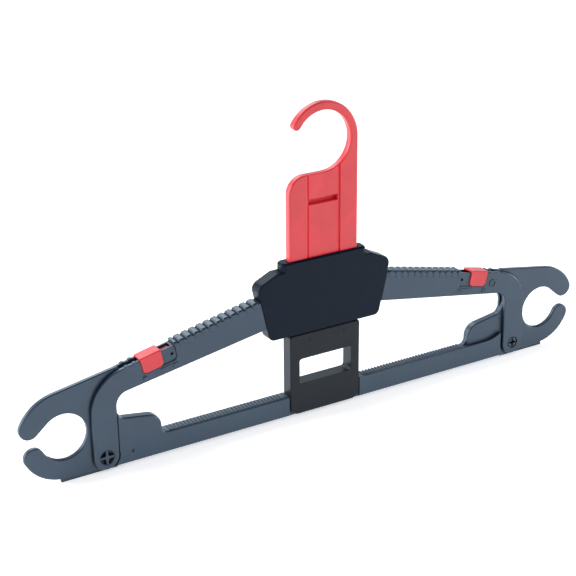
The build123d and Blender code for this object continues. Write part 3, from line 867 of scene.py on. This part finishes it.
class HANGER_OT_add_lock_signs(bpy.types.Operator):
    """An open and a shut padlock, joined by a line, below each lock"""

    bl_idname = "hanger.add_lock_signs"
    bl_label = "Add lock signs"

    def execute(self, context):
        signs = context.scene.hanger_signs
        slope = Matrix.Rotation(radians(ARM_SLOPE), 4, "Y")
        opened = padlock("open padlock", radians(SHACKLE_SWING))
        opened.data.transform(at_mm(OPEN_SIGN[0], -ARM_FACE, OPEN_SIGN[1]) @ slope)
        shut = padlock("shut padlock", 0.0)
        shut.data.transform(at_mm(SHUT_SIGN[0], -ARM_FACE, SHUT_SIGN[1]) @ slope)
        start = Vector((SIGN_LINE[0], 0.0, SIGN_LINE[1]))
        end = Vector((SIGN_LINE[2], 0.0, SIGN_LINE[3]))
        length = (end - start).length * MM
        line = rounded_block(
            (length, signs.relief * 2, signs.stroke), signs.relief * SIGN_ROUND
        )
        middle = (start + end) / 2
        line.data.transform(at_mm(middle.x, -ARM_FACE, middle.z) @ slope)
        right_front = join([opened, shut, line], "lock_signs_right_front")
        to_back = at_mm(0.0, ARM_FACE * 2, 0.0)
        right_back = copied(right_front, "lock_signs_right_back", to_back)
        left_back = copied(right_front, "lock_signs_left_back", HALF_TURN)
        left_front = copied(right_front, "lock_signs_left_front", HALF_TURN @ to_back)
        for piece in (right_front, right_back, left_front, left_back):
            finish_piece(piece, "frame", grey_plastic())
        return {"FINISHED"}


# Name, place, width and power setting of each lamp, in metres
LAMPS = (
    ("Key lamp", (0.1, 1.2, 0.8), 0.9, "key_power"),
    ("Edge lamp", (-1.15, 0.55, 0.35), 0.8, "edge_power"),
    ("Front lamp", (0.5, -1.3, 0.3), 1.1, "front_power"),
    ("Side lamp", (1.3, -0.25, -0.05), 0.5, "side_power"),
)
LAMP_AIM = (0.0, 0.0, -0.08)
WHITE = (1.0, 1.0, 1.0, 1.0)
SENSOR_WIDTH = 36.0

# The dim ceiling lies up and to the front, and its edge is soft
CEILING_SIDE = (0.0, -0.5, 0.866)
CEILING_EDGE = (0.40, 0.75)


class HANGER_OT_set_stage(bpy.types.Operator):
    """The camera, the pale floor and the lamps"""

    bl_idname = "hanger.set_stage"
    bl_label = "Set stage"

    def execute(self, context):
        studio = context.scene.hanger_studio
        context.scene.view_settings.view_transform = "Standard"
        self.add_camera(context, studio)
        self.add_floor(studio)
        self.light_room(context, studio)
        for name, place, size, power in LAMPS:
            self.add_lamp(name, place, size, getattr(studio, power))
        return {"FINISHED"}

    def add_camera(self, context, studio):
        deselect()
        level = Euler((radians(90) - studio.camera_tilt, 0.0, -studio.camera_turn)).to_matrix()
        turn = level @ Matrix.Rotation(-studio.camera_roll, 3, "Z")
        bpy.ops.object.camera_add(location=studio.camera_place, rotation=turn.to_euler())
        camera = context.active_object
        camera.name = "Camera"
        camera.data.lens = studio.focal_length
        camera.data.sensor_width = SENSOR_WIDTH
        context.scene.camera = camera

    def add_floor(self, studio):
        deselect()
        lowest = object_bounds()[0].z
        bpy.ops.mesh.primitive_grid_add(
            x_subdivisions=2, y_subdivisions=2, size=studio.floor_size, location=(0, 0, lowest)
        )
        floor = bpy.context.active_object
        floor.name = "Floor"
        floor.data.materials.append(self.floor_material(studio))
        floor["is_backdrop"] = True

    def floor_material(self, studio):
        material = bpy.data.materials.new("Pale floor")
        material.use_nodes = True
        nodes = material.node_tree.nodes
        links = material.node_tree.links
        paint = nodes["Principled BSDF"]
        paint.inputs["Base Color"].default_value = (*studio.floor_colour, 1.0)
        paint.inputs["Roughness"].default_value = 0.85
        paint.inputs["Specular IOR Level"].default_value = 0.2
        rays = nodes.new("ShaderNodeLightPath")
        surface = paint.outputs["BSDF"]
        for ray, colour, strength in (
            ("Is Camera Ray", studio.floor_colour, studio.floor_glow),
            ("Is Glossy Ray", studio.mirror_tint, studio.floor_mirrored),
        ):
            share = nodes.new("ShaderNodeMath")
            share.operation = "MULTIPLY"
            share.inputs[1].default_value = strength
            glow = nodes.new("ShaderNodeEmission")
            glow.inputs["Color"].default_value = (*colour, 1.0)
            both = nodes.new("ShaderNodeAddShader")
            links.new(rays.outputs[ray], share.inputs[0])
            links.new(share.outputs["Value"], glow.inputs["Strength"])
            links.new(surface, both.inputs[0])
            links.new(glow.outputs["Emission"], both.inputs[1])
            surface = both.outputs["Shader"]
        links.new(surface, nodes["Material Output"].inputs["Surface"])
        return material

    def light_room(self, context, studio):
        world = bpy.data.worlds.new("Studio")
        context.scene.world = world
        world.use_nodes = True
        nodes = world.node_tree.nodes
        links = world.node_tree.links
        room = nodes["Background"]
        room.inputs["Color"].default_value = WHITE
        room.inputs["Strength"].default_value = studio.room_light
        rays = nodes.new("ShaderNodeLightPath")
        seen = new_node(
            nodes, "ShaderNodeBackground", "White backdrop", {"Color": WHITE, "Strength": 1.0}
        )
        mirrored = new_node(
            nodes,
            "ShaderNodeBackground",
            "Room in reflections",
            {"Color": (*studio.mirror_tint, 1.0)},
        )
        direction = nodes.new("ShaderNodeTexCoord")
        upward = new_node(
            nodes, "ShaderNodeVectorMath", "Up and to the front", {1: CEILING_SIDE}
        )
        upward.operation = "DOT_PRODUCT"
        ceiling = new_node(
            nodes,
            "ShaderNodeMapRange",
            "Dim ceiling",
            {
                "From Min": CEILING_EDGE[0],
                "From Max": CEILING_EDGE[1],
                "To Min": studio.wall_light,
                "To Max": studio.ceiling_light,
            },
        )
        links.new(direction.outputs["Generated"], upward.inputs[0])
        links.new(upward.outputs["Value"], ceiling.inputs["Value"])
        links.new(ceiling.outputs["Result"], mirrored.inputs["Strength"])
        to_mirror = nodes.new("ShaderNodeMixShader")
        links.new(rays.outputs["Is Glossy Ray"], to_mirror.inputs["Fac"])
        links.new(room.outputs["Background"], to_mirror.inputs[1])
        links.new(mirrored.outputs["Background"], to_mirror.inputs[2])
        to_camera = nodes.new("ShaderNodeMixShader")
        links.new(rays.outputs["Is Camera Ray"], to_camera.inputs["Fac"])
        links.new(to_mirror.outputs["Shader"], to_camera.inputs[1])
        links.new(seen.outputs["Background"], to_camera.inputs[2])
        links.new(to_camera.outputs["Shader"], nodes["World Output"].inputs["Surface"])

    def add_lamp(self, name, place, size, power):
        deselect()
        aim = Vector(LAMP_AIM) - Vector(place)
        bpy.ops.object.light_add(type="AREA", location=place)
        lamp = bpy.context.active_object
        lamp.name = name
        lamp.rotation_euler = aim.to_track_quat("-Z", "Y").to_euler()
        lamp.data.shape = "DISK"
        lamp.data.size = size
        lamp.data.energy = power
        lamp.data.color = bpy.context.scene.hanger_studio.lamp_tint


class HANGER_PT_panel(bpy.types.Panel):
    """The hanger's steps, in order"""

    bl_idname = "HANGER_PT_panel"
    bl_label = "Folding travel hanger"
    bl_space_type = "VIEW_3D"
    bl_region_type = "UI"
    bl_category = "Hanger"

    def draw(self, context):
        column = self.layout.column()
        for operator in OPERATORS:
            column.operator(operator.bl_idname)
        for group in GROUPS:
            settings = getattr(context.scene, GROUPS[group])
            for setting in group.__annotations__:
                column.prop(settings, setting)


GROUPS = {
    HangerPlastics: "hanger_plastics",
    HangerRibs: "hanger_ribs",
    HangerSigns: "hanger_signs",
    HangerStudio: "hanger_studio",
}
OPERATORS = (
    HANGER_OT_finish_frame,
    HANGER_OT_finish_collar,
    HANGER_OT_finish_hook,
    HANGER_OT_finish_locks,
    HANGER_OT_add_bar_ribs,
    HANGER_OT_add_eye_ribs,
    HANGER_OT_add_lock_signs,
    HANGER_OT_set_stage,
)


def register():
    for group, name in GROUPS.items():
        bpy.utils.register_class(group)
        setattr(bpy.types.Scene, name, PointerProperty(type=group))
    for operator in OPERATORS:
        bpy.utils.register_class(operator)
    bpy.utils.register_class(HANGER_PT_panel)


def unregister():
    bpy.utils.unregister_class(HANGER_PT_panel)
    for operator in reversed(OPERATORS):
        bpy.utils.unregister_class(operator)
    for group, name in GROUPS.items():
        delattr(bpy.types.Scene, name)
        bpy.utils.unregister_class(group)


def main():
    register()
    bpy.ops.hanger.finish_frame()
    bpy.ops.hanger.finish_collar()
    bpy.ops.hanger.finish_hook()
    bpy.ops.hanger.finish_locks()
    bpy.ops.hanger.add_bar_ribs()
    bpy.ops.hanger.add_eye_ribs()
    bpy.ops.hanger.add_lock_signs()
    bpy.ops.hanger.set_stage()


if __name__ == "__main__":
    main()
